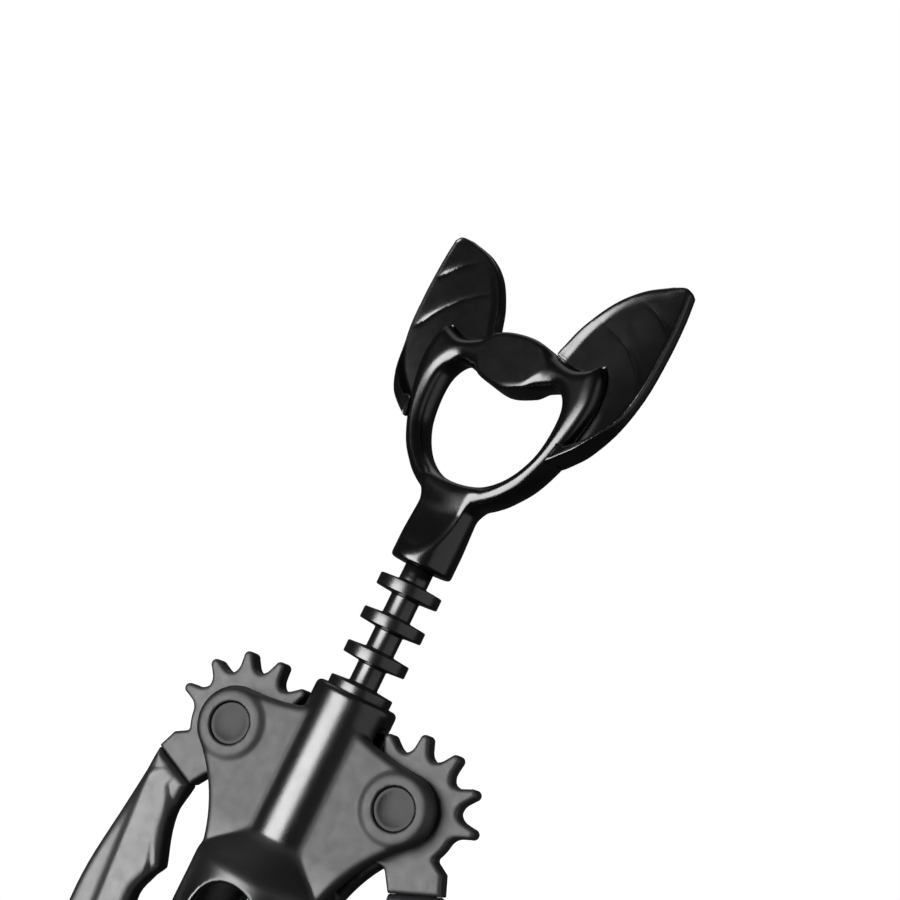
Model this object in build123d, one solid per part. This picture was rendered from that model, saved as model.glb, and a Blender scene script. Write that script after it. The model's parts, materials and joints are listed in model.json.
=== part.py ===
"""Double-lever corkscrew whose turning head is a bottle opener with two cupped ears.

Millimetres, +Z up, front facing -Y. The origin is the middle of the bell's rim, on which the
part stands. Heights of the levers, rack and head are counted from the lever pivots. Pieces
that come in pairs are made on the +X side and mirrored.
"""
from build123d import *
import os
from math import atan2, cos, degrees, floor, pi, radians, sin, sqrt

# Allowances
OVERRUN = 5.0
SEAT_GAP = 0.03
RUN_GAP = 0.05
SLIDE_GAP = 0.35
FACE_GAP = 0.03
SEAM_GAP = 0.12

# Bell, cork chamber and barrel
PIVOT_HEIGHT = 70.0
NECK_BORE_RADIUS = 15.25
LINER_WALL = 1.2
BELL_WALL = 2.2
SEAT_HEIGHT = 24.0
BELL_STRAIGHT = 17.0
RIM_EASE = 0.7
CORK_RADIUS = 12.3
CHAMBER_WALL = 2.0
CHAMBER_FLARE_TOP = 32.0
CHAMBER_TOP = 47.0
SHOULDER_RISE = 9.0
BARREL_WALL = 1.55
BARREL_RISE = 14.8
BARREL_ROUND = 0.9
WINDOW_WIDTH = 14.0
WINDOW_LOW = 29.0
WINDOW_HIGH = 46.0

# Lug plates and pivots
PLATE_THICKNESS = 3.7
NOSE_RADIUS = 7.2
NOSE_LEAVE_ANGLE = 50.0
PLATE_TOP_RISE = 9.8
PLATE_FOOT_DROP = 25.0
PLATE_EASE = 0.7
BOSS_RADIUS = 6.2
BOSS_PROUD = 0.5
RIVET_RADIUS = 2.6
RIVET_HEAD_RADIUS = 3.95
RIVET_HEAD_THICKNESS = 1.0
RIVET_HEAD_SUNK = 0.4
RIVET_DISH_RADIUS = 3.4
RIVET_DISH_DEPTH = 0.35
WASHER_RADIUS = 6.0
WASHER_THICKNESS = 0.44

# Rack
RING_COUNT = 7
RING_PITCH = 7.0
RING_RADIUS = 6.3
RING_TIP = 2.35
RING_ROOT = 3.0
RING_EASE = 0.25
NECK_RADIUS = 2.6
PITCH_LINE_RADIUS = 4.63
TOP_RING_RISE = 36.3
SLEEVE_TAIL = 1.8
SLEEVE_NECK = 4.8

# Gear levers
TEETH_PER_TURN = 12
TOOTH_COUNT = 8
TEETH_BELOW_MESH = 1
GEAR_THICKNESS = 4.5
TOOTH_ADDENDUM = 0.85
TOOTH_DEDENDUM = 3.0
TOOTH_ROUND = 0.75
TOOTH_TIP_WIDTH = 1.8
TOOTH_ROOT_WIDTH = 3.1
VALLEY_ROUND = 0.9
MESH_LEAD = 0.25
TIP_ROOM = 0.7
SHOULDER_REACH = 11.8
SHOULDER_DROP = 6.5
SEAM_OUT_REACH = 13.3
SEAM_OUT_DROP = 10.1
SEAM_IN_REACH = 4.0
SEAM_IN_DROP = 13.9
ARM_ROOT_ANGLE = 262.0
TANG_WIDTH = 6.0
TANG_LENGTH = 19.0
TANG_THICKNESS = 2.4

# Wings
WING_REACH = 16.5
WING_DROP = 68.0
WING_THICKNESS = 5.6
MEMBRANE_THICKNESS = 4.4
BONE_WIDTH = 3.6
WING_PIN_RADIUS = 1.0
WING_PIN_SHARES = (0.316, 0.842)
# Outer edge from the seam to the tip, then the points of the scalloped edge on the way back
WING_EDGE_SHARES = ((0.90, -0.335), (1.00, -0.560), (0.93, -0.765), (0.71, -0.925))
WING_TIP_SHARES = (0.40, -1.0)
WING_POINT_SHARES = ((0.125, -0.845), (0.110, -0.640), (0.110, -0.435))
WING_HOLLOW_SHARES = ((0.345, -0.890), (0.270, -0.735), (0.270, -0.535), (0.270, -0.320))
WRIST_SHARES = (0.62, -0.235)

# Head
HEAD_TURN = -19.7
COLLAR_RADIUS = 6.2
COLLAR_HEIGHT = 16.5
SOCKET_DEPTH = 11.0
BLADE_THICKNESS = 5.4
SCOOP_START = 2.0
SCOOP_RADIUS = 24.0
RING_LIFT = 12.8
RING_HALF_WIDTH = 20.9
RING_HEIGHT = 35.8
RING_THICKNESS = 7.0
RING_SECTION_ROUND = 1.7
CHEEK_ROUND = 2.0
# Where the arcs of the ring's outside meet: bottom, side, cheek point, brow and top
RING_SHARES = ((0.0, 0.0), (0.890, 0.380), (0.986, 0.947), (0.420, 0.953), (0.0, 1.0))
MOUTH_SHARES = (
    (0.0, 0.126), (0.287, 0.156), (0.526, 0.246), (0.689, 0.388), (0.746, 0.547),
    (0.727, 0.684), (0.603, 0.768), (0.421, 0.751), (0.215, 0.707), (0.0, 0.682))

# Ears
EAR_REACH = 31.3
EAR_HEIGHT = 40.8
EAR_LIFT = 25.4
EAR_THICKNESS = 3.2
EAR_CUP_RADIUS = 24.0
EAR_BACK = 1.6
EAR_TIP_ROUND = 1.4
EAR_INNER_SHARES = ((0.29, 0.330), (0.233, 0.527), (0.345, 0.757), (0.623, 0.949), (0.955, 1.0))
EAR_OUTER_SHARES = ((1.0, 0.700), (0.962, 0.431), (0.799, 0.147), (0.527, 0.0))
EAR_AXIS_SHARES = ((0.383, 0.0), (0.863, 1.0))
EAR_PIN_RADIUS = 0.6
EAR_PIN_LENGTH = 6.0
EAR_PIN_SHARES = (0.52, 0.68)

# Worm
SHANK_RADIUS = 1.5
LOCK_PIN_RADIUS = 0.7
LOCK_PIN_RISE = 6.0
THRUST_WASHER_RADIUS = 4.2
THRUST_WASHER_THICKNESS = 1.5
WORM_ROOT_RADIUS = 4.1
WORM_ROOT_HEIGHT = 3.0
WORM_WIRE_RADIUS = 1.45
WORM_COIL_RADIUS = 2.6
WORM_PITCH = 8.5
WORM_TURNS = 3.6
WORM_POINT_LENGTH = 3.0
WORM_POINT_RADIUS = 0.3

# Sizes worked out from the ones above
BORE_RADIUS = RING_RADIUS + SLIDE_GAP
BARREL_RADIUS = BORE_RADIUS + BARREL_WALL
LINER_RADIUS = NECK_BORE_RADIUS + LINER_WALL
LINER_SEAT_RADIUS = LINER_RADIUS + SEAT_GAP
BELL_RADIUS = LINER_SEAT_RADIUS + BELL_WALL
CHAMBER_RADIUS = CORK_RADIUS + CHAMBER_WALL
RIM_HEIGHT = PIVOT_HEIGHT + BARREL_RISE
GEAR_PITCH_RADIUS = TEETH_PER_TURN * RING_PITCH / (2 * pi)
GEAR_TIP_RADIUS = GEAR_PITCH_RADIUS + TOOTH_ADDENDUM
GEAR_ROOT_RADIUS = GEAR_PITCH_RADIUS - TOOTH_DEDENDUM
TOOTH_STEP = 360 / TEETH_PER_TURN
PIVOT_REACH = GEAR_PITCH_RADIUS + PITCH_LINE_RADIUS
SLOT_HALF_WIDTH = GEAR_THICKNESS / 2 + WASHER_THICKNESS + 2 * FACE_GAP
PLATE_FACE = SLOT_HALF_WIDTH + PLATE_THICKNESS
BOSS_FACE = PLATE_FACE + BOSS_PROUD
TOP_RING_HEIGHT = PIVOT_HEIGHT + TOP_RING_RISE
COLLAR_BOTTOM = TOP_RING_HEIGHT + SLEEVE_NECK
RING_BASE = COLLAR_BOTTOM + RING_LIFT
EAR_BASE = COLLAR_BOTTOM + EAR_LIFT
LOW_RING_HEIGHT = TOP_RING_HEIGHT - (RING_COUNT - 1) * RING_PITCH
SLEEVE_TOP = COLLAR_BOTTOM - RUN_GAP
SLEEVE_BOTTOM = LOW_RING_HEIGHT - RING_ROOT / 2 - SLEEVE_TAIL
SHANK_TOP = COLLAR_BOTTOM + SOCKET_DEPTH - SEAT_GAP
WASHER_TOP = SLEEVE_BOTTOM - RUN_GAP
WORM_ROOT_TOP = WASHER_TOP - THRUST_WASHER_THICKNESS - FACE_GAP
LOCK_PIN_HEIGHT = COLLAR_BOTTOM + LOCK_PIN_RISE

# The tooth in mesh stands in the gap below the rack ring nearest above the pivots
RINGS_ABOVE_MESH = floor(TOP_RING_RISE / RING_PITCH) + 1 / 2
MESH_RISE = TOP_RING_RISE - RINGS_ABOVE_MESH * RING_PITCH + MESH_LEAD
MESH_ANGLE = degrees(MESH_RISE / GEAR_PITCH_RADIUS)

UP = (Align.CENTER, Align.CENTER, Align.MIN)
DOWN = (Align.CENTER, Align.CENTER, Align.MAX)


def plate(outline, thickness):
    """An outline in X and Z, made solid to both sides of the plane Y = 0."""
    return extrude(Plane.XZ * outline, thickness / 2, both=True)


def outline_face(*edges):
    """The flat face inside a closed run of edges."""
    return make_face(Curve() + list(edges))


def pin_along_y(x, z, radius, length):
    """A round pin through the plane Y = 0."""
    return Pos(x, 0, z) * Rot(90, 0, 0) * Cylinder(radius, length)


def turned(*edges):
    """A body of revolution about the barrel's axis."""
    return revolve(Plane.XZ * outline_face(*edges), Axis.Z)


def round_corner(x, z, radius):
    """A quarter arc from straight up at x to level at z, convex outwards."""
    middle = radius * sin(pi / 4)
    return ThreePointArc((x, z - radius), (x - radius + middle, z - radius + middle), (x - radius, z))


def body_blank():
    """Outside of the bell, cork chamber and barrel."""
    shoulder_top = CHAMBER_TOP + SHOULDER_RISE
    edge = Polyline((0, RIM_HEIGHT), (0, 0), (BELL_RADIUS - RIM_EASE, 0), (BELL_RADIUS, RIM_EASE))
    bell = Line((BELL_RADIUS, RIM_EASE), (BELL_RADIUS, BELL_STRAIGHT))
    upright = ((0, 1), (0, 1))
    flare = Spline((BELL_RADIUS, BELL_STRAIGHT), (CHAMBER_RADIUS, CHAMBER_FLARE_TOP), tangents=upright)
    chamber = Line((CHAMBER_RADIUS, CHAMBER_FLARE_TOP), (CHAMBER_RADIUS, CHAMBER_TOP))
    shoulder = Spline((CHAMBER_RADIUS, CHAMBER_TOP), (BARREL_RADIUS, shoulder_top), tangents=upright)
    barrel = Line((BARREL_RADIUS, shoulder_top), (BARREL_RADIUS, RIM_HEIGHT - BARREL_ROUND))
    corner = round_corner(BARREL_RADIUS, RIM_HEIGHT, BARREL_ROUND)
    top = Line((BARREL_RADIUS - BARREL_ROUND, RIM_HEIGHT), (0, RIM_HEIGHT))
    return turned(edge, bell, flare, chamber, shoulder, barrel, corner, top)


def body_hollow():
    """Room for the liner, the bottle's mouth, the drawn cork and the rack."""
    roof_low = CHAMBER_TOP - CHAMBER_WALL
    roof_high = roof_low + SHOULDER_RISE
    below = Polyline(
        (0, roof_high), (0, -OVERRUN), (LINER_SEAT_RADIUS, -OVERRUN), (LINER_SEAT_RADIUS, SEAT_HEIGHT),
        (CORK_RADIUS, SEAT_HEIGHT), (CORK_RADIUS, roof_low))
    roof = Spline((CORK_RADIUS, roof_low), (BORE_RADIUS, roof_high), tangents=((0, 1), (0, 1)))
    top = Line((BORE_RADIUS, roof_high), (0, roof_high))
    bore = Pos(0, 0, roof_low) * Cylinder(BORE_RADIUS, RIM_HEIGHT - roof_low + OVERRUN, align=UP)
    return turned(below, roof, top) + bore


def lug_outline():
    """One lug: a nose around the pivot and a web that runs in to the barrel and down to the chamber."""
    leave = radians(NOSE_LEAVE_ANGLE)
    nose_top = (PIVOT_REACH, NOSE_RADIUS)
    nose_side = (PIVOT_REACH + NOSE_RADIUS, 0)
    nose_end = (PIVOT_REACH + NOSE_RADIUS * cos(leave), -NOSE_RADIUS * sin(leave))
    barrel_top = (BARREL_RADIUS / 2, PLATE_TOP_RISE)
    foot = (CORK_RADIUS, -PLATE_FOOT_DROP)
    dip = TangentArc(nose_top, barrel_top, tangent=(-1, 0))
    nose = ThreePointArc(nose_top, nose_side, nose_end)
    flank = TangentArc(nose_end, foot, tangent=(-sin(leave), -cos(leave)))
    inside = Polyline(foot, (0, -PLATE_FOOT_DROP), (0, PLATE_TOP_RISE), barrel_top)
    return Pos(0, PIVOT_HEIGHT) * outline_face(dip, nose, flank, inside)


def front_lug():
    """A front lug plate with an eased face, its boss, and the seat of its rivet."""
    lug = extrude(Plane.XZ.offset(SLOT_HALF_WIDTH) * lug_outline(), PLATE_THICKNESS)
    face = lug.faces().sort_by(Axis.Y)[0]
    lug = chamfer(face.edges().filter_by(GeomType.CIRCLE), PLATE_EASE)
    boss = Pos(PIVOT_REACH, -SLOT_HALF_WIDTH, PIVOT_HEIGHT) * Rot(90, 0, 0) * Cylinder(
        BOSS_RADIUS, PLATE_THICKNESS + BOSS_PROUD, align=UP)
    boss = chamfer(boss.edges().group_by(Axis.Y)[0], BOSS_PROUD)
    return lug + boss


def body_frame():
    """The cast body: bell, windowed cork chamber, slotted barrel and four lugs."""
    right_front = front_lug()
    right_back = mirror(right_front, Plane.XZ)
    lugs = right_front + right_back
    frame = body_blank() + lugs + mirror(lugs, Plane.YZ) - body_hollow()
    window_middle = (WINDOW_LOW + WINDOW_HIGH) / 2
    window = SlotOverall(WINDOW_HIGH - WINDOW_LOW, WINDOW_WIDTH, rotation=90)
    frame -= plate(Pos(0, window_middle) * window, 2 * (CHAMBER_RADIUS + OVERRUN))
    slot_radius = GEAR_TIP_RADIUS + TIP_ROOM
    seat_depth = RIVET_HEAD_SUNK + RIVET_HEAD_THICKNESS
    for side in (PIVOT_REACH, -PIVOT_REACH):
        frame -= pin_along_y(side, PIVOT_HEIGHT, slot_radius, 2 * SLOT_HALF_WIDTH)
        frame -= pin_along_y(side, PIVOT_HEIGHT, RIVET_RADIUS + SEAT_GAP, 2 * (BOSS_FACE + OVERRUN))
        for turn in (90, -90):
            seat = Pos(0, 0, BOSS_FACE - seat_depth) * Cylinder(
                RIVET_HEAD_RADIUS + SEAT_GAP, seat_depth + OVERRUN, align=UP)
            frame -= Pos(side, 0, PIVOT_HEIGHT) * Rot(turn, 0, 0) * seat
    return frame


def bell_liner():
    """Plastic ring in the bell, which the neck of the bottle goes into."""
    length = SEAT_HEIGHT - FACE_GAP - RIM_EASE
    ring = Cylinder(LINER_RADIUS, length, align=UP) - Cylinder(NECK_BORE_RADIUS, length, align=UP)
    return Pos(0, 0, RIM_EASE) * ring


def pivot_rivet():
    """Rivet with a dished head sunk in each boss."""
    head_face = BOSS_FACE - RIVET_HEAD_SUNK
    rivet = Cylinder(RIVET_RADIUS, 2 * head_face)
    dish_radius = (RIVET_DISH_RADIUS**2 + RIVET_DISH_DEPTH**2) / (2 * RIVET_DISH_DEPTH)
    dish_centre = head_face - RIVET_DISH_DEPTH + dish_radius
    for turn in (0, 180):
        head = Pos(0, 0, head_face) * Cylinder(RIVET_HEAD_RADIUS, RIVET_HEAD_THICKNESS - SEAT_GAP, align=DOWN)
        rivet += Rot(turn, 0, 0) * head
        rivet -= Rot(turn, 0, 0) * Pos(0, 0, dish_centre) * Sphere(dish_radius)
    return Pos(PIVOT_REACH, 0, PIVOT_HEIGHT) * Rot(90, 0, 0) * rivet


def pivot_washers():
    """A thin washer on each side of a gear."""
    inner = GEAR_THICKNESS / 2 + FACE_GAP
    washer = Cylinder(WASHER_RADIUS, WASHER_THICKNESS, align=UP)
    washer -= Cylinder(RIVET_RADIUS + SEAT_GAP, WASHER_THICKNESS, align=UP)
    place = Pos(PIVOT_REACH, 0, PIVOT_HEIGHT)
    return [place * Rot(turn, 0, 0) * Pos(0, 0, inner) * washer for turn in (90, -90)]


def rack_sleeve():
    """Sleeve with round rack rings, bored for the shank of the worm."""
    bore = SHANK_RADIUS + RUN_GAP
    points = [(bore, SLEEVE_BOTTOM), (NECK_RADIUS, SLEEVE_BOTTOM)]
    for index in range(RING_COUNT):
        middle = LOW_RING_HEIGHT + index * RING_PITCH
        points += [
            (NECK_RADIUS, middle - RING_ROOT / 2),
            (RING_RADIUS - RING_EASE, middle - RING_TIP / 2),
            (RING_RADIUS, middle - RING_TIP / 2 + RING_EASE),
            (RING_RADIUS, middle + RING_TIP / 2 - RING_EASE),
            (RING_RADIUS - RING_EASE, middle + RING_TIP / 2),
            (NECK_RADIUS, middle + RING_ROOT / 2),
        ]
    points += [(NECK_RADIUS, SLEEVE_TOP), (bore, SLEEVE_TOP)]
    return turned(Polyline(*points, close=True))


def gear_point(radius, angle, aside=0):
    """A point of the right gear: angle counted upwards from the side facing the rack."""
    turn = radians(angle)
    x = PIVOT_REACH - radius * cos(turn) + aside * sin(turn)
    return x, radius * sin(turn) + aside * cos(turn)


def tooth_edges(angle):
    """Flanks and rounded tip of one tooth."""
    low = GEAR_ROOT_RADIUS + VALLEY_ROUND
    high = GEAR_TIP_RADIUS - TOOTH_ROUND
    start = gear_point(low, angle, -TOOTH_ROOT_WIDTH / 2)
    rise = gear_point(high, angle, -TOOTH_TIP_WIDTH / 2)
    fall = gear_point(high, angle, TOOTH_TIP_WIDTH / 2)
    end = gear_point(low, angle, TOOTH_ROOT_WIDTH / 2)
    tip = ThreePointArc(rise, gear_point(GEAR_TIP_RADIUS, angle), fall)
    return [Line(start, rise), tip, Line(fall, end)], start, end


def lever_outline():
    """Toothed sector and short arm, up to the seam with the wing."""
    angles = [MESH_ANGLE + (index - TEETH_BELOW_MESH) * TOOTH_STEP for index in range(TOOTH_COUNT)]
    edges = []
    ends = []
    for angle in angles:
        tooth, start, end = tooth_edges(angle)
        if ends:
            valley = gear_point(GEAR_ROOT_RADIUS, angle - TOOTH_STEP / 2)
            edges.append(ThreePointArc(ends[-1], valley, start))
        edges += tooth
        ends += [start, end]
    shoulder = (PIVOT_REACH + SHOULDER_REACH, -SHOULDER_DROP)
    last_valley = gear_point(GEAR_ROOT_RADIUS, angles[-1] + TOOTH_STEP / 2)
    edges.append(ThreePointArc(ends[-1], last_valley, shoulder))
    seam_out, seam_in = seam_ends()
    arm_root = gear_point(GEAR_ROOT_RADIUS, ARM_ROOT_ANGLE)
    edges.append(Polyline(shoulder, seam_out, seam_in, arm_root))
    hub_middle = gear_point(GEAR_ROOT_RADIUS, (ARM_ROOT_ANGLE - 360 + angles[0] - TOOTH_STEP / 2) / 2)
    hub_end = gear_point(GEAR_ROOT_RADIUS, angles[0] - TOOTH_STEP / 2)
    edges.append(ThreePointArc(arm_root, hub_middle, hub_end))
    edges.append(Line(hub_end, ends[0]))
    return outline_face(*edges)


def seam_ends():
    """Outer and inner end of the seam between arm and wing."""
    seam_out = (PIVOT_REACH + SEAM_OUT_REACH, -SEAM_OUT_DROP)
    seam_in = (PIVOT_REACH + SEAM_IN_REACH, -SEAM_IN_DROP)
    return seam_out, seam_in


def tang(width, length, thickness):
    """Tongue of the lever inside the wing, starting inside the arm."""
    seam_out, seam_in = seam_ends()
    middle = (seam_out[0] + seam_in[0]) / 2
    start = PIVOT_HEIGHT - (SHOULDER_DROP + SEAM_OUT_DROP) / 2
    bottom = PIVOT_HEIGHT - (SEAM_OUT_DROP + SEAM_IN_DROP) / 2 - length
    return Pos(middle, 0, start) * Box(width, thickness, start - bottom, align=DOWN)


def wing_pins(radius, length):
    """Two pins through wing and tang."""
    seam_out, seam_in = seam_ends()
    middle = (seam_out[0] + seam_in[0]) / 2
    seam_height = PIVOT_HEIGHT - (SEAM_OUT_DROP + SEAM_IN_DROP) / 2
    return [pin_along_y(middle, seam_height - share * TANG_LENGTH, radius, length) for share in WING_PIN_SHARES]


def gear_lever():
    """Lever with its toothed sector, pivot bore and tang."""
    lever = plate(Pos(0, PIVOT_HEIGHT) * lever_outline(), GEAR_THICKNESS)
    lever += tang(TANG_WIDTH, TANG_LENGTH, TANG_THICKNESS)
    lever -= pin_along_y(PIVOT_REACH, PIVOT_HEIGHT, RIVET_RADIUS + RUN_GAP, 2 * GEAR_THICKNESS)
    for hole in wing_pins(WING_PIN_RADIUS + SEAT_GAP, 2 * WING_THICKNESS):
        lever -= hole
    return lever


def wing_point(shares):
    """A point of the wing, from shares of its reach and drop beyond the pivot."""
    return PIVOT_REACH + shares[0] * WING_REACH, shares[1] * WING_DROP


def wing_outline():
    """Wing with a smooth outer edge, a pointed tip and a scalloped inner edge."""
    seam_out, seam_in = seam_ends()
    seam_out = (seam_out[0], seam_out[1] - SEAM_GAP)
    seam_in = (seam_in[0], seam_in[1] - SEAM_GAP)
    tip = wing_point(WING_TIP_SHARES)
    edges = [Line(seam_in, seam_out)]
    edges.append(Spline(seam_out, *[wing_point(shares) for shares in WING_EDGE_SHARES], tip))
    start = tip
    ends = [wing_point(shares) for shares in WING_POINT_SHARES] + [seam_in]
    for hollow, end in zip(WING_HOLLOW_SHARES, ends):
        edges.append(ThreePointArc(start, wing_point(hollow), end))
        start = end
    return outline_face(*edges)


def wing_bones():
    """Tapered finger bones from the wrist to the points of the scalloped edge, in outline."""
    wrist = wing_point(WRIST_SHARES)
    bones = Sketch()
    for shares in WING_POINT_SHARES + (WING_TIP_SHARES,):
        end = wing_point(shares)
        heading = atan2(end[1] - wrist[1], end[0] - wrist[0])
        aside = (-sin(heading) * BONE_WIDTH / 2, cos(heading) * BONE_WIDTH / 2)
        left = (wrist[0] + aside[0], wrist[1] + aside[1])
        right = (wrist[0] - aside[0], wrist[1] - aside[1])
        bones += outline_face(Polyline(left, end, right, close=True))
    return bones + Pos(*wrist) * Circle(BONE_WIDTH / 2)


def wing():
    """Grip in the form of a folded wing, pocketed for the tang and drilled for its pins."""
    outline = wing_outline()
    lift = Pos(0, PIVOT_HEIGHT)
    grip = plate(lift * outline, MEMBRANE_THICKNESS)
    grip += plate(lift * (outline & wing_bones()), WING_THICKNESS)
    seam_out, seam_in = seam_ends()
    cuff_low = wing_point(WRIST_SHARES)[1]
    cuff = Polyline(
        (seam_in[0], cuff_low), (seam_in[0], 0), (seam_out[0] + WING_REACH, 0),
        (seam_out[0] + WING_REACH, cuff_low), close=True)
    grip += plate(lift * (outline & outline_face(cuff)), WING_THICKNESS)
    grip -= tang(TANG_WIDTH + 2 * SEAT_GAP, TANG_LENGTH + SEAM_GAP, TANG_THICKNESS + 2 * SEAT_GAP)
    for hole in wing_pins(WING_PIN_RADIUS + SEAT_GAP, 2 * WING_THICKNESS):
        grip -= hole
    return grip


def ring_point(shares, gap=0):
    """A point of the head's ring, from shares of its half width and height, grown by a gap."""
    return shares[0] * (RING_HALF_WIDTH + gap), RING_BASE + shares[1] * (RING_HEIGHT + gap)


def mirrored(points):
    """The points with x turned to the other side, in reverse order."""
    return [(-x, z) for x, z in reversed(points)]


def ring_outline(gap=0):
    """Outside of the head: round below, with a cheek point on each side and a low brow."""
    bottom, side, cheek, brow, top = [ring_point(shares, gap) for shares in RING_SHARES]
    low = TangentArc(bottom, side, tangent=(1, 0))
    high = TangentArc(side, cheek, tangent=low % 1)
    crown = TangentArc(top, brow, tangent=(1, 0))
    dip = TangentArc(brow, cheek, tangent=crown % 1)
    right = [low, high, crown, dip]
    face = outline_face(*right, *[mirror(edge, Plane.YZ) for edge in right])
    corners = face.vertices().sort_by(Axis.X)
    return fillet([corners[0], corners[-1]], CHEEK_ROUND)


def mouth_outline():
    """Opening that takes a crown cap: round below, with two lobes and a tooth between them above."""
    right = [ring_point(shares) for shares in MOUTH_SHARES]
    return outline_face(Spline(*right, *mirrored(right)[1:-1], periodic=True))


def collar():
    """Round collar, scooped front and back into a blade that carries the ring."""
    blank = Pos(0, 0, COLLAR_BOTTOM) * Cylinder(COLLAR_RADIUS, COLLAR_HEIGHT, align=UP)
    scoop_depth = COLLAR_RADIUS - BLADE_THICKNESS / 2
    drop = sqrt(SCOOP_RADIUS**2 - (SCOOP_RADIUS - scoop_depth)**2)
    scoop_middle = COLLAR_BOTTOM + SCOOP_START + drop
    scoop = Pos(0, BLADE_THICKNESS / 2 + SCOOP_RADIUS, scoop_middle) * Rot(0, 90, 0) * Cylinder(
        SCOOP_RADIUS, 2 * (COLLAR_RADIUS + OVERRUN))
    return blank - scoop - mirror(scoop, Plane.XZ)


def head_ring():
    """Opener ring with its brow, cheeks and collar."""
    ring = plate(ring_outline(), RING_THICKNESS)
    ring -= plate(mouth_outline(), RING_THICKNESS + OVERRUN)
    ring = fillet(ring.faces().filter_by(Axis.Y).edges(), RING_SECTION_ROUND)
    head = ring + collar()
    socket = Pos(0, 0, COLLAR_BOTTOM) * Cylinder(SHANK_RADIUS + SEAT_GAP, SOCKET_DEPTH, align=UP)
    head -= socket
    head -= lock_pin_shape(LOCK_PIN_RADIUS + SEAT_GAP, OVERRUN)
    for hole in ear_pins(EAR_PIN_RADIUS + SEAT_GAP, EAR_PIN_LENGTH + 2 * SEAT_GAP):
        head = head - hole - mirror(hole, Plane.YZ)
    return head


def lock_pin_shape(radius, beyond=0):
    """Cross pin from the far side of the shank to the back of the collar."""
    start = -SHANK_RADIUS - SEAT_GAP
    scoop_depth = COLLAR_RADIUS - BLADE_THICKNESS / 2
    end = COLLAR_RADIUS - scoop_depth + beyond
    pin = Rot(-90, 0, 0) * Cylinder(radius, end - start, align=UP)
    return Pos(0, start, LOCK_PIN_HEIGHT) * pin


def ear_point(shares):
    """A point of the ear, from shares of its reach and height."""
    return shares[0] * EAR_REACH, EAR_BASE + shares[1] * EAR_HEIGHT


def ear_outline():
    """Pointed leaf outline of an ear, its inner part behind the ring's side."""
    inner = [ear_point(shares) for shares in EAR_INNER_SHARES]
    outer = [ear_point(shares) for shares in EAR_OUTER_SHARES]
    face = outline_face(Spline(*inner), Spline(inner[-1], *outer), Line(outer[-1], inner[0]))
    return fillet(face.vertices().sort_by(Axis.Y)[-1], EAR_TIP_ROUND)


def ear_axis():
    """Foot of the line about which the ear is cupped, and its lean from upright."""
    foot, top = [ear_point(shares) for shares in EAR_AXIS_SHARES]
    return foot, atan2(top[0] - foot[0], top[1] - foot[1])


def ear_depth(x, z):
    """How far back the middle of the ear's shell lies."""
    foot, lean = ear_axis()
    across = (x - foot[0]) * cos(lean) - (z - foot[1]) * sin(lean)
    return EAR_BACK - EAR_CUP_RADIUS + sqrt(EAR_CUP_RADIUS**2 - across**2)


def ear_pins(radius, length):
    """Level dowels across the seat of the ear on the ring's side, in the middle of the shell."""
    pins = []
    for share in EAR_PIN_SHARES:
        height = RING_BASE + share * RING_HEIGHT
        depth = ear_depth(RING_HALF_WIDTH + EAR_PIN_LENGTH / 4, height)
        pins.append(Pos(RING_HALF_WIDTH, depth, height) * Rot(0, 90, 0) * Cylinder(radius, length))
    return pins


def ear():
    """Cupped ear that stands against the side of the ring."""
    foot, lean = ear_axis()
    middle = Pos(foot[0], EAR_BACK - EAR_CUP_RADIUS, foot[1])
    length = 3 * EAR_HEIGHT
    cup = Cylinder(EAR_CUP_RADIUS + EAR_THICKNESS / 2, length) - Cylinder(EAR_CUP_RADIUS - EAR_THICKNESS / 2, length)
    cup = middle * Rot(0, degrees(lean), 0) * cup
    leaf = extrude(Plane.XZ.offset(-EAR_BACK - EAR_THICKNESS) * ear_outline(), EAR_CUP_RADIUS)
    shell = leaf & cup
    seat = plate(ring_outline(SEAT_GAP), 2 * EAR_CUP_RADIUS)
    shell = Part() + (shell - seat).solids().sort_by(SortBy.VOLUME)[-1]
    for hole in ear_pins(EAR_PIN_RADIUS + SEAT_GAP, EAR_PIN_LENGTH + 2 * SEAT_GAP):
        shell -= hole
    return shell


def worm():
    """Screw with a pointed tip, its root, and a straight shank up into the collar."""
    coil_height = WORM_PITCH * WORM_TURNS
    coil_bottom = WORM_ROOT_TOP - WORM_ROOT_HEIGHT / 2 - coil_height
    line = Helix(WORM_PITCH, coil_height, WORM_COIL_RADIUS, center=(0, 0, coil_bottom))
    start = Plane(line @ 0, z_dir=line % 0)
    coil = sweep(start * Circle(WORM_WIRE_RADIUS), path=line, is_frenet=True)
    point = Plane(line @ 0, z_dir=-(line % 0)) * Cone(
        WORM_WIRE_RADIUS, WORM_POINT_RADIUS, WORM_POINT_LENGTH, align=UP)
    root = Pos(0, 0, WORM_ROOT_TOP) * Cylinder(WORM_ROOT_RADIUS, WORM_ROOT_HEIGHT, align=DOWN)
    shank = Pos(0, 0, WORM_ROOT_TOP) * Cylinder(SHANK_RADIUS, SHANK_TOP - WORM_ROOT_TOP, align=UP)
    screw = root + shank + coil + point
    return screw - lock_pin_shape(LOCK_PIN_RADIUS + SEAT_GAP, OVERRUN)


def thrust_washer():
    """Washer between the rack sleeve and the root of the worm."""
    washer = Cylinder(THRUST_WASHER_RADIUS, THRUST_WASHER_THICKNESS, align=DOWN)
    washer -= Cylinder(SHANK_RADIUS + RUN_GAP, THRUST_WASHER_THICKNESS, align=DOWN)
    return Pos(0, 0, WASHER_TOP) * washer


def write(name, *solids):
    """Writes one node."""
    shape = solids[0] if len(solids) == 1 else Compound(children=list(solids))
    export_step(shape, f"parts/{name}.step")


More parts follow.
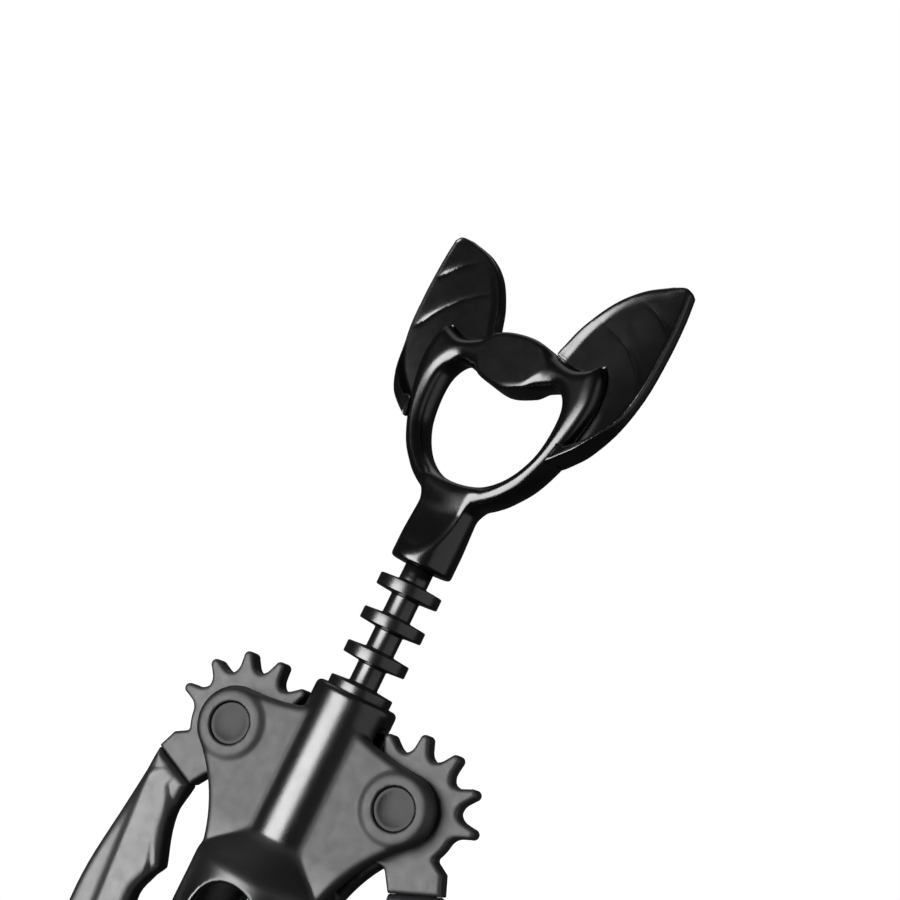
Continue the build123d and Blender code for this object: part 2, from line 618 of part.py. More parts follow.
def write_pair(name, right):
    """Writes a right-hand node and its mirror image."""
    for side, place in (("right", None), ("left", Plane.YZ)):
        solids = [mirror(solid, place) if place else solid for solid in right]
        write(f"{side}_{name}", *solids)


def main():
    os.makedirs("parts", exist_ok=True)
    write("body_frame", body_frame())
    write("bell_liner", bell_liner())
    write_pair("pivot_rivet", [pivot_rivet()])
    write_pair("pivot_washers", pivot_washers())
    write_pair("gear_lever", [gear_lever()])
    write_pair("wing", [wing()])
    write_pair("wing_pins", wing_pins(WING_PIN_RADIUS, MEMBRANE_THICKNESS))
    write("rack_sleeve", rack_sleeve())
    turned_head = Rot(0, 0, HEAD_TURN)
    write("head_ring", turned_head * head_ring())
    write("head_lock_pin", turned_head * lock_pin_shape(LOCK_PIN_RADIUS))
    write("worm", turned_head * worm())
    write("thrust_washer", thrust_washer())
    right_ear = ear()
    pins = ear_pins(EAR_PIN_RADIUS, EAR_PIN_LENGTH)
    write("right_ear", turned_head * right_ear)
    write("left_ear", turned_head * mirror(right_ear, Plane.YZ))
    write("right_ear_pins", *[turned_head * pin for pin in pins])
    write("left_ear_pins", *[turned_head * mirror(pin, Plane.YZ) for pin in pins])


main()
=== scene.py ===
"""Looks of the double-lever corkscrew: cast pieces as smooth fields, turned pieces as lathed
profiles, satin black finishes, a softbox studio and the photograph's viewpoint.

Sizes are in millimetres in the part's frame, and the finished meshes are in metres.
"""
import json
from itertools import product
from math import atan2, cos, pi, radians, sin, tan

import bpy
import numpy as np
from mathutils import Matrix, Vector


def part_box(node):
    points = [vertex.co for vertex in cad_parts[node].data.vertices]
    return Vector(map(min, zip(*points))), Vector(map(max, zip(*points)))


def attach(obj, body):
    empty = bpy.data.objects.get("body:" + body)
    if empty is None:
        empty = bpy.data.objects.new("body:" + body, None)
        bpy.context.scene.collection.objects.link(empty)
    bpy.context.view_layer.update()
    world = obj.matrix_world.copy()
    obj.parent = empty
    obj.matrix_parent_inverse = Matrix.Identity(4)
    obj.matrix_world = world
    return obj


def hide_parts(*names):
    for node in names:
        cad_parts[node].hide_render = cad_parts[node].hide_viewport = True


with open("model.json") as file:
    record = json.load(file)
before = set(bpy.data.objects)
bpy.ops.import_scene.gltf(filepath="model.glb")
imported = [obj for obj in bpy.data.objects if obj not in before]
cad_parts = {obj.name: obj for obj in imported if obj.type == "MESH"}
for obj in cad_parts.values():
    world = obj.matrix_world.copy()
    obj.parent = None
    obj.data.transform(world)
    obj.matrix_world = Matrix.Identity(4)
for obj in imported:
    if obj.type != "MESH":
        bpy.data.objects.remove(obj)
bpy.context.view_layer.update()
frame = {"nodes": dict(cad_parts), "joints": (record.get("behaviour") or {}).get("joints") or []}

MM = 0.001


def box_mm(node):
    """Lowest and highest corner of a CAD node, in millimetres."""
    low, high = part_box(node)
    return np.array(low) / MM, np.array(high) / MM


def joint(name):
    """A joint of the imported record."""
    return next(row for row in frame["joints"] if row["name"] == name)


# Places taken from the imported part
PIVOT_REACH, _, PIVOT_HEIGHT = (value / MM for value in joint("right_lever_swing")["pos_m"])
BODY_LOW, BODY_HIGH = box_mm("body_frame")
LINER_RADIUS = box_mm("bell_liner")[1][0]
RACK_LOW, RACK_HIGH = box_mm("rack_sleeve")
HEAD_LOW, HEAD_HIGH = box_mm("head_ring")
WORM_TOP = box_mm("worm")[1][2]
WASHER_BOTTOM = box_mm("thrust_washer")[0][2]
RIM_HEIGHT = BODY_HIGH[2]
BELL_RADIUS = BODY_HIGH[1]
NOSE_RADIUS = BODY_HIGH[0] - PIVOT_REACH
COLLAR_BOTTOM = HEAD_LOW[2]
RING_TOP = HEAD_HIGH[2]
RING_RADIUS = RACK_HIGH[0]
RIVET_FACE = box_mm("right_pivot_rivet")[1][1]

# Grid steps of the sculpted pieces
BODY_PITCH = 0.42
LEVER_PITCH = 0.30
WING_PITCH = 0.34
HEAD_PITCH = 0.30
EAR_PITCH = 0.28
GRID_MARGIN = 2
EVEN_ROUNDS = 3
PROBE = 0.01
LEAST_SLOPE = 0.1

# Cast body
SEAT_GAP = 0.03
BELL_STRAIGHT = 17.0
FLARE_TOP = 32.0
CHAMBER_RADIUS = 14.3
CHAMBER_TOP = 47.0
CHAMBER_WALL = 2.0
SHOULDER_RISE = 9.0
BARREL_RADIUS = 8.2
BORE_RADIUS = 6.65
SEAT_HEIGHT = 24.0
SEAT_CORNER = 2.2
WINDOW_HALF_WIDTH = 7.0
WINDOW_LOW = 29.0
WINDOW_HIGH = 46.0
SLOT_HALF_WIDTH = 2.75
SLOT_RADIUS = 14.92
PLATE_THICKNESS = 3.7
PLATE_TOP_RISE = 9.8
PLATE_FOOT_DROP = 25.0
NOSE_LEAVE = radians(50)
BOSS_RADIUS = 6.2
BOSS_PROUD = 0.5
RIVET_RADIUS = 2.6
RIVET_SEAT_RADIUS = 3.98
RIVET_SEAT_DEPTH = 1.4
RIVET_HEAD_RADIUS = 3.95
RIVET_HEAD_THICKNESS = 0.97
RIVET_DISH_RADIUS = 3.4
RIVET_DISH_DEPTH = 0.35
RIVET_DISH_STEPS = 12
RIVET_EDGE = 0.2
RIM_ROUND = 1.3
PLATE_ROUND = 1.7
BOSS_ROUND = 1.2
WEB_FILLET = 0.9
CUT_ROUND = 0.7

# Gear levers
TOOTH_STEP = radians(30)
TOOTH_COUNT = 8
FIRST_TOOTH = radians(-38.36)
GEAR_ROOT_RADIUS = 10.37
GEAR_TIP_RADIUS = 14.21
TOOTH_ROOT_HALF = 1.72
TOOTH_TIP_HALF = 1.0
TOOTH_FILLET = 1.5
GEAR_HALF = 2.25
GEAR_ROUND = 0.9
ARM_FILLET = 0.8
SHOULDER = (11.8, -6.5)
SEAM_OUT = (13.3, -10.1)
SEAM_IN = (4.0, -13.9)
ARM_ROOT = (1.44, -10.27)
TANG_HALF_WIDTH = 3.0
TANG_HALF = 1.2
TANG_TOP_DROP = 8.3
TANG_LENGTH = 19.0

# Wings, in shares of their reach and drop beyond the pivot
SEAM_GAP = 0.03
WING_REACH = 16.5
WING_DROP = 68.0
WING_HALF = 2.8
MEMBRANE_HALF = 2.0
CUFF_FADE = 7.0
WING_ROUND = 2.4
BONE_ROOT_HALF = 1.5
BONE_TIP_HALF = 0.5
BONE_SPREAD = 1.5
WING_EDGE_SHARES = ((0.90, -0.335), (1.00, -0.560), (0.93, -0.765), (0.71, -0.925))
WING_TIP_SHARES = (0.40, -1.0)
WING_POINT_SHARES = ((0.125, -0.845), (0.110, -0.640), (0.110, -0.435))
WING_HOLLOW_SHARES = ((0.345, -0.890), (0.270, -0.735), (0.270, -0.535), (0.270, -0.320))
WRIST_SHARES = (0.62, -0.235)
ELBOW_SHARES = (0.455, -0.185)

# Head, symmetrical about its own upright plane, then turned about the barrel's axis
HEAD_TURN = radians(-19.7)
RING_HALF = 3.5
RING_SECTION_ROUND = 3.3
BROW_ROUND = 1.2
BROW_LOW = 143.0
BROW_HALF_WIDTH = 9.0
RING_EDGE_ROUND = 0.5
RING_OUTSIDE = (
    (0.0, 123.9), (6.5, 125.1), (10.4, 127.0), (13.2, 129.3), (16.1, 132.5), (18.6, 137.0),
    (20.6, 142.3), (21.9, 147.5), (22.2, 151.5), (21.3, 155.8), (19.6, 158.3))
RING_BROW = (
    (19.6, 158.3), (17.6, 157.2), (14.8, 156.4), (11.5, 156.9), (7.6, 158.4), (3.8, 159.5), (0.0, 159.8))
MOUTH = (
    (0.0, 128.4), (6.0, 129.5), (11.0, 132.7), (14.4, 137.8), (15.6, 143.5), (15.2, 148.4),
    (12.6, 151.4), (8.8, 150.8), (4.5, 149.2), (0.0, 148.3))
COLLAR_RADIUS = 6.2
COLLAR_HEIGHT = 16.5
COLLAR_ROUND = 0.9
COLLAR_FILLET = 2.2
BLADE_HALF = 2.7
SCOOP_RADIUS = 24.0
SCOOP_START = 2.0
SCOOP_ROUND = 0.8
SOCKET_RADIUS = 1.53
SOCKET_DEPTH = 11.0

# Ears
EAR_INNER = (
    (9.1, 150.0), (8.0, 157.5), (8.9, 160.9), (10.9, 165.6), (14.8, 171.1), (19.7, 174.8), (25.4, 176.9))
EAR_TIP = ((25.4, 176.9), (28.4, 177.2), (29.8, 176.2))
EAR_OUTER = (
    (29.8, 176.2), (30.3, 171.0), (30.4, 164.0), (29.8, 155.5), (27.7, 148.0), (24.2, 142.2),
    (21.0, 139.2), (18.2, 137.2))
EAR_FOOT = ((18.2, 137.2), (18.9, 141.0))
EAR_FOOT_TOP = 141.7
EAR_FOOT_LOW = 138.5
EAR_FOOT_FADE = 153.0
EAR_FOOT_RISE = 3.0
EAR_FOOT_WIDTH = 2.0
EAR_HALF = 1.6
EAR_BACK = 1.2
EAR_ROUND = 1.0
EAR_TUCK = 2.6
EAR_AXIS_FOOT = (12.0, 136.5)
EAR_AXIS_TOP = (27.0, 177.3)
EAR_INNER_LIP = 1.1
EAR_INNER_WIDTH = 2.6
EAR_LIP_FADE = 0.85
EAR_OUTER_LIP = 0.5
EAR_OUTER_WIDTH = 0.9
EAR_CURL = 64.0
EAR_SEAT_GAP = 0.1
EAR_CREASES = (
    ((28.9, 156.0), (25.3, 160.4), (20.6, 164.1), (13.0, 167.4)),
    ((29.8, 167.2), (27.0, 169.5), (24.4, 171.2), (20.4, 172.8)))
CREASE_DEPTH = 0.38
CREASE_SHARP = 0.3
CREASE_SPREAD = 0.5

# Rack
RING_COUNT = 7
RING_PITCH = 7.0
TOP_RING = 106.3
RING_TIP = 2.35
RING_ROOT = 3.0
NECK_RADIUS = 2.85
SLEEVE_BORE = 1.55
RING_EDGE = 0.28
NECK_FILLET = 0.3
LATHE_STEPS = 128

# Worm
SHANK_RADIUS = 1.5
WORM_ROOT_RADIUS = 4.1
WORM_ROOT_HEIGHT = 3.0
WORM_ROOT_EDGE = 0.8
WIRE_RADIUS = 1.45
WIRE_POINT = 0.12
COIL_RADIUS = 2.6
WORM_PITCH = 8.5
WORM_TURNS = 3.6
POINT_TURNS = 0.85
POINT_RUN = 0.12
WIRE_STEPS = 24
TURN_STEPS = 72
FACE_GAP = 0.03

# Viewpoint fitted to the photograph: its turn about the part's axes, its place and its lens
VIEW_TURNS = (radians(-7.730), radians(26.039), radians(-21.687))
VIEW_PLACE = (-23.5095, 298.9538, -58.9399)
PHOTO_WIDTH = 900
FOCAL_PIXELS = 1615.73
SENSOR = 36.0
NEAREST = 0.01

# Finishes, with lengths in millimetres
PLATE_ROUGHER = 0.27
DULL_EDGE = 0.4
DRIFT_SIZE = 14.0
DRIFT_DETAIL = 4
TONE_RANGE = (0.75, 1.25)
GLOSS_SWING = 0.05
GLOSS_GRAINS = 5.0
GLOSS_DETAIL = 3
GRAIN_DETAIL = 2
GRAIN_RELIEF = 0.25

# Studio, in metres
AIM = Vector((0, 0, 0.115))
FLOOR_HALF = 4.0
WORLD_GREY = 0.035
FLOOR_NEAR = 0.2
FLOOR_FAR = 0.7
FLOOR_GLOW = 0.8
FLOOR_GREY = (0.9, 0.9, 0.9, 1)
FLOOR_ROUGHNESS = 0.9
WHITE = (1, 1, 1, 1)


def ease(value, start, end):
    """Zero before start, one after end, smooth between."""
    share = np.clip((value - start) / (end - start), 0, 1)
    return share * share * (3 - 2 * share)


def join(one, other, soft):
    """Union of two fields with a fillet of about the given size."""
    blend = np.maximum(soft - np.abs(one - other), 0) / soft
    return np.minimum(one, other) - blend * blend * soft / 4


def meet(one, other, soft):
    """Intersection of two fields with a rounded edge."""
    return -join(-one, -other, soft)


def cut(one, other, soft):
    """The first field without the second, with a rounded edge."""
    return -join(-one, other, soft)


def outline_distance(x, z, points):
    """Signed distance to a closed outline, negative inside."""
    nearest = np.inf
    inside = False
    for (x0, z0), (x1, z1) in zip(points, np.roll(points, -1, axis=0)):
        run, rise = x1 - x0, z1 - z0
        along = np.clip(((x - x0) * run + (z - z0) * rise) / (run * run + rise * rise), 0, 1)
        nearest = np.minimum(nearest, (x - x0 - along * run) ** 2 + (z - z0 - along * rise) ** 2)
        if rise:
            inside = inside ^ (((z0 > z) != (z1 > z)) & (x < run * (z - z0) / rise + x0))
    return np.where(inside, -1, 1) * np.sqrt(nearest)


def line_distance(x, z, start, end):
    """Distance to a straight line between two points, and the share of the way along it."""
    run, rise = end[0] - start[0], end[1] - start[1]
    along = np.clip(((x - start[0]) * run + (z - start[1]) * rise) / (run * run + rise * rise), 0, 1)
    return np.hypot(x - start[0] - along * run, z - start[1] - along * rise), along


def smooth_run(points, closed=False, steps=6):
    """Points on a smooth curve through the given ones, without the last."""
    points = np.array(points, float)
    if closed:
        points = np.vstack([points, points[:1]])
    before = np.vstack([points[-2] if closed else 2 * points[0] - points[1], points[:-1]])
    after = np.vstack([points[1:], points[1] if closed else 2 * points[-1] - points[-2]])
    lean = (after - before) / 2
    share = np.arange(steps)[:, None] / steps
    runs = []
    for index in range(len(points) - 1):
        start, end = points[index], points[index + 1]
        runs.append(
            (2 * share**3 - 3 * share**2 + 1) * start + (share**3 - 2 * share**2 + share) * lean[index]
            + (3 * share**2 - 2 * share**3) * end + (share**3 - share**2) * lean[index + 1])
    return np.vstack(runs)


def mirrored(points):
    """The points on the other side of x = 0, in reverse order."""
    return [(-x, z) for x, z in reversed(points)]


def tangent_arc(start, end, heading, steps=24):
    """Points of the arc that leaves start along a heading and stops short of end."""
    along = np.array(heading, float)
    along /= np.linalg.norm(along)
    aside = np.array((-along[1], along[0]))
    chord = np.array(end) - start
    radius = chord @ chord / (2 * chord @ aside)
    turn = 2 * atan2(chord @ aside, chord @ along) * np.arange(steps)[:, None] / steps
    return np.array(start) + radius * (np.sin(turn) * along + (1 - np.cos(turn)) * aside)


def surface_net(values):
    """Vertices, in grid steps, and quads of the zero level of a field on a grid."""
    inside = values < 0
    size = np.array(values.shape) - 1
    corners = list(product((0, 1), repeat=3))
    window = [inside[i:i + size[0], j:j + size[1], k:k + size[2]] for i, j, k in corners]
    count = sum(part.astype(np.int8) for part in window)
    cells = np.argwhere((count > 0) & (count < len(corners)))
    number = np.full(size, -1)
    number[tuple(cells.T)] = np.arange(len(cells))
    total = np.zeros((len(cells), 3))
    hits = np.zeros(len(cells))
    quads = []
    for axis in range(3):
        step = np.eye(3, dtype=int)[axis]
        sides = [other for other in range(3) if other != axis]
        for first, second in product((0, 1), repeat=2):
            corner = cells.copy()
            corner[:, sides[0]] += first
            corner[:, sides[1]] += second
            near = values[tuple(corner.T)]
            far = values[tuple((corner + step).T)]
            crossed = (near < 0) != (far < 0)
            way = np.where(crossed, near / np.where(crossed, near - far, 1), 0)
            total += np.where(crossed[:, None], corner + way[:, None] * step, 0)
            hits += crossed
        lower = np.take(inside, range(size[axis]), axis)
        upper = np.take(inside, range(1, size[axis] + 1), axis)
        edges = np.argwhere(lower != upper)
        u, v = np.eye(3, dtype=int)[(axis + 1) % 3], np.eye(3, dtype=int)[(axis + 2) % 3]
        ring = np.stack([number[tuple((edges - move).T)] for move in (u + v, v, 0 * u, u)], axis=1)
        outward = lower[tuple(edges.T)]
        quads.append(np.where(outward[:, None], ring, ring[:, ::-1]))
    return total / hits[:, None], np.vstack(quads)


def settle(points, field, reach):
    """The points moved onto the zero level of a field, in two steps along its slope."""
    value = field(*points.T)
    slope = np.stack([(field(*(points + probe).T) - value) / PROBE for probe in np.eye(3) * PROBE], axis=1)
    slope /= np.maximum((slope * slope).sum(axis=1), LEAST_SLOPE)[:, None]
    points = points - slope * np.clip(value, -reach, reach)[:, None]
    return points - slope * np.clip(field(*points.T), -reach, reach)[:, None]


def evened(points, quads):
    """Each point moved half way to the middle of its neighbours."""
    total = np.zeros_like(points)
    count = np.zeros(len(points))
    for one, other in ((0, 1), (1, 2), (2, 3), (3, 0)):
        for here, there in ((one, other), (other, one)):
            np.add.at(total, quads[:, here], points[quads[:, there]])
            np.add.at(count, quads[:, here], 1)
    return (points + total / count[:, None]) / 2


def sculpt(field, low, high, pitch):
    """Vertices in millimetres and quads of a field inside a box."""
    axes = [np.arange(start - GRID_MARGIN * pitch, end + (GRID_MARGIN + 1) * pitch, pitch)
            for start, end in zip(low, high)]
    x, y, z = np.meshgrid(*axes, indexing="ij", sparse=True)
    values = np.broadcast_to(field(x, y, z), [len(axis) for axis in axes])
    points, quads = surface_net(values)
    points = points * pitch + np.array([axis[0] for axis in axes])
    points = settle(points, field, pitch)
    for _ in range(EVEN_ROUNDS):
        points = settle(evened(points, quads), field, pitch)
    return points, quads


def lathe(profile):
    """Vertices and faces of a closed profile of radius and height, turned about the upright axis."""
    profile = np.array(profile, float)
    count = len(profile)
    turns = 2 * pi * np.arange(LATHE_STEPS) / LATHE_STEPS
    points = np.stack([
        np.outer(np.cos(turns), profile[:, 0]), np.outer(np.sin(turns), profile[:, 0]),
        np.tile(profile[:, 1], (LATHE_STEPS, 1))], axis=2).reshape(-1, 3)
    number = np.arange(len(points)).reshape(LATHE_STEPS, count)
    on_axis = profile[:, 0] == 0
    number[:, on_axis] = number[0, on_axis]
    faces = []
    for turn, index in product(range(LATHE_STEPS), range(count)):
        next_turn, next_index = (turn + 1) % LATHE_STEPS, (index + 1) % count
        corners = (
            number[turn, index], number[next_turn, index],
            number[next_turn, next_index], number[turn, next_index])
        face = list(dict.fromkeys(corners))
        if len(face) > 2:
            faces.append(face)
    used = {corner: place for place, corner in enumerate(sorted(set(number.flat)))}
    return points[list(used)], [[used[corner] for corner in face] for face in faces]


def rounded(points, radii, steps=5):
    """A closed profile with its corners rounded, each by a radius of its own."""
    points = np.array(points, float)
    result = []
    for index, radius in enumerate(radii):
        here = points[index]
        back = points[index - 1] - here
        ahead = points[(index + 1) % len(points)] - here
        back /= np.linalg.norm(back)
        ahead /= np.linalg.norm(ahead)
        if radius == 0:
            result.append(here)
            continue
        half = np.arccos(np.clip(back @ ahead, -1, 1)) / 2
        middle = here + (back + ahead) / np.linalg.norm(back + ahead) * radius / sin(half)
        start = here + back * radius / tan(half) - middle
        end = here + ahead * radius / tan(half) - middle
        for share in np.linspace(0, 1, steps):
            spoke = start * (1 - share) + end * share
            result.append(middle + spoke / np.linalg.norm(spoke) * radius)
    return result


def piece(name, shape, body, slot, material, *nodes):
    """A smooth mesh that rides on a body and stands for CAD nodes."""
    points, faces = shape
    mesh = bpy.data.meshes.new(name)
    mesh.from_pydata((points * MM).tolist(), [], [list(map(int, face)) for face in faces])
    mesh.validate()
    mesh.shade_smooth()
    mesh.materials.append(material)
    made = bpy.data.objects.new(name, mesh)
    bpy.context.scene.collection.objects.link(made)
    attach(made, body)
    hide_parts(*nodes)
    return made


def other_side(shape):
    """The mirror image of a shape about x = 0."""
    points, faces = shape
    return points * (-1, 1, 1), [face[::-1] for face in faces]


def head_turned(shape):
    """A shape of the head turned about the barrel's axis."""
    points, faces = shape
    turn = np.array(((cos(HEAD_TURN), -sin(HEAD_TURN), 0), (sin(HEAD_TURN), cos(HEAD_TURN), 0), (0, 0, 1)))
    return points @ turn.T, faces


def lug_outline():
    """A lug plate: a nose around the pivot, with a web to the barrel and the cork chamber."""
    nose_top = (PIVOT_REACH, PIVOT_HEIGHT + NOSE_RADIUS)
    nose_end = (
        PIVOT_REACH + NOSE_RADIUS * cos(NOSE_LEAVE), PIVOT_HEIGHT - NOSE_RADIUS * sin(NOSE_LEAVE))
    barrel_top = (BARREL_RADIUS / 2, PIVOT_HEIGHT + PLATE_TOP_RISE)
    foot = (CHAMBER_RADIUS - CHAMBER_WALL, PIVOT_HEIGHT - PLATE_FOOT_DROP)
    nose = tangent_arc(nose_top, nose_end, (1, 0))
    flank = tangent_arc(nose_end, foot, (-sin(NOSE_LEAVE), -cos(NOSE_LEAVE)))
    dip = tangent_arc(nose_top, barrel_top, (-1, 0))
    inside = np.array((foot, (0, foot[1]), (0, barrel_top[1]), barrel_top))
    return np.vstack([nose, flank, inside, dip[:0:-1]])


def body_field(x, y, z):
    """The cast body: bell, windowed cork chamber, slotted barrel and four lugs."""
    x, y = np.abs(x), np.abs(y)
    out = np.hypot(x, y)
    shoulder_top = CHAMBER_TOP + SHOULDER_RISE
    shell = out - BELL_RADIUS + (BELL_RADIUS - CHAMBER_RADIUS) * ease(z, BELL_STRAIGHT, FLARE_TOP)
    shell = shell + (CHAMBER_RADIUS - BARREL_RADIUS) * ease(z, CHAMBER_TOP, shoulder_top)
    plate_middle = SLOT_HALF_WIDTH + PLATE_THICKNESS / 2
    slab = np.abs(y - plate_middle) - PLATE_THICKNESS / 2
    lugs = meet(outline_distance(x, z, LUG), slab, PLATE_ROUND)
    from_pivot = np.hypot(x - PIVOT_REACH, z - PIVOT_HEIGHT)
    boss_face = SLOT_HALF_WIDTH + PLATE_THICKNESS + BOSS_PROUD
    boss = meet(from_pivot - BOSS_RADIUS, np.maximum(y - boss_face, SLOT_HALF_WIDTH - y), BOSS_ROUND)
    solid = join(shell, join(lugs, boss, BOSS_ROUND), WEB_FILLET)
    solid = meet(solid, np.maximum(z - RIM_HEIGHT, BODY_LOW[2] - z), RIM_ROUND)
    roof = SHOULDER_RISE + CHAMBER_TOP - CHAMBER_WALL
    cork = CHAMBER_RADIUS - CHAMBER_WALL
    hollow = out - cork + (cork - BORE_RADIUS) * ease(z, CHAMBER_TOP - CHAMBER_WALL, roof)
    solid = cut(solid, hollow, CUT_ROUND)
    aside, above = out - LINER_RADIUS - SEAT_GAP, z - SEAT_HEIGHT
    seat = np.maximum(np.maximum(aside, above), aside + above + SEAT_CORNER)
    solid = np.maximum(solid, -seat)
    slot = np.maximum(from_pivot - SLOT_RADIUS, y - SLOT_HALF_WIDTH)
    solid = cut(solid, slot, CUT_ROUND)
    low = (0, WINDOW_LOW + WINDOW_HALF_WIDTH)
    high = (0, WINDOW_HIGH - WINDOW_HALF_WIDTH)
    solid = cut(solid, line_distance(x, z, low, high)[0] - WINDOW_HALF_WIDTH, CUT_ROUND)
    rivet_seat = np.maximum(from_pivot - RIVET_SEAT_RADIUS, boss_face - RIVET_SEAT_DEPTH - y)
    return np.maximum(solid, -np.minimum(rivet_seat, from_pivot - RIVET_RADIUS))


def lever_field(x, y, z):
    """Toothed sector, short arm and tang of the right lever."""
    x, z = x - PIVOT_REACH, z - PIVOT_HEIGHT
    gear = np.hypot(x, z) - GEAR_ROOT_RADIUS
    for index in range(TOOTH_COUNT):
        turn = FIRST_TOOTH + index * TOOTH_STEP
        ray = np.array((-cos(turn), sin(turn)))
        away, along = line_distance(x, z, ray * GEAR_ROOT_RADIUS, ray * (GEAR_TIP_RADIUS - TOOTH_TIP_HALF))
        tooth = away - TOOTH_ROOT_HALF + (TOOTH_ROOT_HALF - TOOTH_TIP_HALF) * along
        gear = join(gear, tooth, TOOTH_FILLET)
    arm = outline_distance(x, z, np.array(((0, 0), SHOULDER, SEAM_OUT, SEAM_IN, ARM_ROOT)))
    lever = meet(join(gear, arm, ARM_FILLET), np.abs(y) - GEAR_HALF, GEAR_ROUND)
    tang = tang_field(x, y, z, 0)
    return np.maximum(np.minimum(lever, tang), RIVET_RADIUS - np.hypot(x, z))


def tang_field(x, y, z, gap):
    """Tongue of the lever inside the wing, grown by a gap."""
    middle = (SEAM_OUT[0] + SEAM_IN[0]) / 2
    bottom = (SEAM_OUT[1] + SEAM_IN[1]) / 2 - TANG_LENGTH
    sides = np.maximum(np.abs(x - middle) - TANG_HALF_WIDTH, np.abs(y) - TANG_HALF)
    return np.maximum(sides, np.maximum(z + TANG_TOP_DROP, bottom - z)) - gap


def wing_point(shares):
    """A point of the wing, from the pivot."""
    return shares[0] * WING_REACH, shares[1] * WING_DROP


def wing_outline():
    """Smooth outer edge, pointed tip and scalloped inner edge."""
    seam_out = (SEAM_OUT[0], SEAM_OUT[1] - SEAM_GAP)
    seam_in = (SEAM_IN[0], SEAM_IN[1] - SEAM_GAP)
    tip = wing_point(WING_TIP_SHARES)
    runs = [smooth_run([seam_out, *map(wing_point, WING_EDGE_SHARES), tip])]
    ends = [*map(wing_point, WING_POINT_SHARES), seam_in]
    start = tip
    for hollow, end in zip(WING_HOLLOW_SHARES, ends):
        runs.append(smooth_run([start, wing_point(hollow), end]))
        start = end
    return np.vstack([*runs, [seam_in]])


def wing_field(x, y, z):
    """Grip in the form of a folded wing: finger bones with a membrane drawn thin between them."""
    x, z = x - PIVOT_REACH, z - PIVOT_HEIGHT
    outline = outline_distance(x, z, WING)
    wrist = wing_point(WRIST_SHARES)
    near_bone = np.inf
    for shares in (*WING_POINT_SHARES, WING_TIP_SHARES, ELBOW_SHARES):
        away, along = line_distance(x, z, wrist, wing_point(shares))
        half = BONE_ROOT_HALF + (BONE_TIP_HALF - BONE_ROOT_HALF) * along
        near_bone = np.minimum(near_bone, np.maximum(away - half, 0))
    seam_drop = line_distance(x, z, SEAM_OUT, SEAM_IN)[0]
    ridge = np.maximum(np.exp(-((near_bone / BONE_SPREAD) ** 2)), 1 - ease(seam_drop, 0, CUFF_FADE))
    height = MEMBRANE_HALF + (WING_HALF - MEMBRANE_HALF) * ridge
    grip = meet(outline, np.abs(y) - height, WING_ROUND)
    return np.maximum(grip, -tang_field(x, y, z, SEAM_GAP))


def ring_outline():
    """Outside of the head's ring."""
    around = mirrored(RING_OUTSIDE[1:]) + list(RING_OUTSIDE)
    brow = list(RING_BROW) + mirrored(RING_BROW[:-1])
    return np.vstack([smooth_run(around), smooth_run(brow)])


def mouth_outline():
    """Opening of the head that takes a crown cap."""
    return smooth_run(list(MOUTH) + mirrored(MOUTH[1:-1]), closed=True)


def ring_field(x, y, z):
    """Opener ring with round limbs and a flatter brow."""
    edge = meet(outline_distance(x, z, RING), -outline_distance(x, z, OPENING), RING_EDGE_ROUND)
    brow = ease(z, BROW_LOW, BROW_LOW + RING_HALF)
    brow = brow * (1 - ease(np.abs(x), BROW_HALF_WIDTH - RING_HALF, BROW_HALF_WIDTH))
    return meet(edge, np.abs(y) - RING_HALF, RING_SECTION_ROUND + (BROW_ROUND - RING_SECTION_ROUND) * brow)


def head_field(x, y, z):
    """Opener ring with its brow and cheek points, on a scooped round collar."""
    ring = ring_field(x, y, z)
    y = np.abs(y)
    ends = np.maximum(COLLAR_BOTTOM - z, z - COLLAR_BOTTOM - COLLAR_HEIGHT)
    collar = meet(np.hypot(x, y) - COLLAR_RADIUS, ends, COLLAR_ROUND)
    scoop_depth = COLLAR_RADIUS - BLADE_HALF
    rise = (SCOOP_RADIUS**2 - (SCOOP_RADIUS - scoop_depth) ** 2) ** 0.5
    scoop_middle = COLLAR_BOTTOM + SCOOP_START + rise
    scoop = np.hypot(y - BLADE_HALF - SCOOP_RADIUS, z - scoop_middle) - SCOOP_RADIUS
    collar = cut(collar, scoop, SCOOP_ROUND)
    socket = np.maximum(np.hypot(x, y) - SOCKET_RADIUS, z - COLLAR_BOTTOM - SOCKET_DEPTH)
    return np.maximum(join(ring, collar, COLLAR_FILLET), -socket)


def ear_outline():
    """Pointed leaf, with a short foot at its lower end."""
    return np.vstack([*map(smooth_run, (EAR_INNER, EAR_TIP, EAR_OUTER)), EAR_FOOT])


def ear_crease(x, z, points):
    """Depth of a fold that is sharp on its lower side, wide above, and runs out at its inner end."""
    away = np.inf
    above = False
    fade = 0
    line = np.vstack([smooth_run(points), [points[-1]]])
    shares = np.linspace(1, 0, len(line))
    for start, end, share in zip(line[:-1], line[1:], shares):
        near = line_distance(x, z, start, end)[0]
        side = (end[0] - start[0]) * (z - start[1]) - (end[1] - start[1]) * (x - start[0]) < 0
        above = np.where(near < away, side, above)
        fade = np.where(near < away, share, fade)
        away = np.minimum(away, near)
    spread = np.where(above, CREASE_SPREAD, CREASE_SHARP)
    return CREASE_DEPTH * fade * np.exp(-away / spread)


